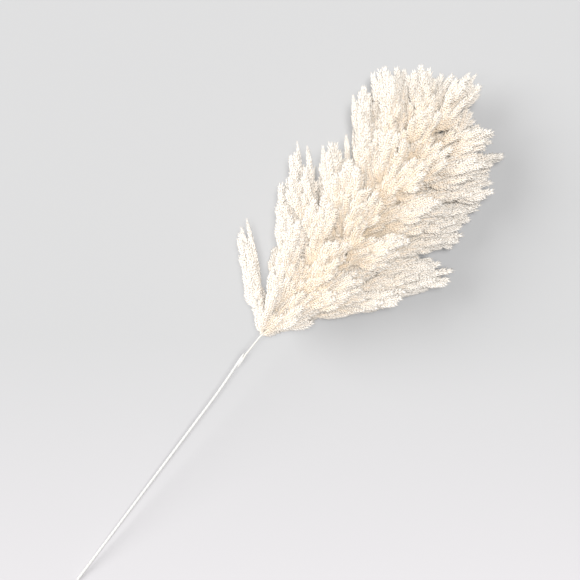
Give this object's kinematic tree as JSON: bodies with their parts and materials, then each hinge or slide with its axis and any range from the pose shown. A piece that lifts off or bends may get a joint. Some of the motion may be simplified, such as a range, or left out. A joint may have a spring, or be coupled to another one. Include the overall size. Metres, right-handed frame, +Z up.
{
  "type": "cut stem of pampas grass",
  "caption": "Single cut stem of dried pampas grass lying down: a long thin wrapped stem with a thinner plume stem bound to it, carrying a wide, feathery cream plume of drooping sprays.",
  "frame": {"origin": "on the surface that the stem lies on, below the middle of the whole object", "axes": "+X from the cut end towards the plume's tip, +Y to the left seen from above, +Z up"},
  "size_m": [0.9792, 0.3042, 0.195],
  "materials": {
    "stem_wrap": "matt white paper tape",
    "plume_stem": "matt dried grass",
    "florets": "soft, silky dried florets"
  },
  "bodies": {
    "root": {"main_stem": "stem_wrap", "binding": "stem_wrap", "plume_stem": "plume_stem", "spray_01": "florets", "spray_02": "florets", "spray_03": "florets", "spray_04": "florets", "spray_05": "florets", "spray_06": "florets", "spray_07": "florets", "spray_08": "florets", "spray_09": "florets", "spray_10": "florets", "spray_11": "florets", "spray_12": "florets", "spray_13": "florets", "spray_14": "florets", "spray_15": "florets", "spray_16": "florets", "spray_17": "florets", "spray_18": "florets", "spray_19": "florets", "spray_20": "florets", "spray_21": "florets", "spray_22": "florets", "spray_23": "florets", "spray_24": "florets", "spray_25": "florets", "spray_26": "florets", "spray_27": "florets", "spray_28": "florets", "spray_29": "florets", "spray_30": "florets", "spray_31": "florets", "spray_32": "florets", "spray_33": "florets", "spray_34": "florets", "spray_35": "florets", "spray_36": "florets", "spray_37": "florets", "spray_38": "florets", "spray_39": "florets", "spray_40": "florets", "spray_41": "florets", "spray_42": "florets", "spray_43": "florets", "spray_44": "florets", "spray_45": "florets", "spray_46": "florets", "spray_47": "florets", "spray_48": "florets", "spray_49": "florets"}
  },
  "joints": []
}
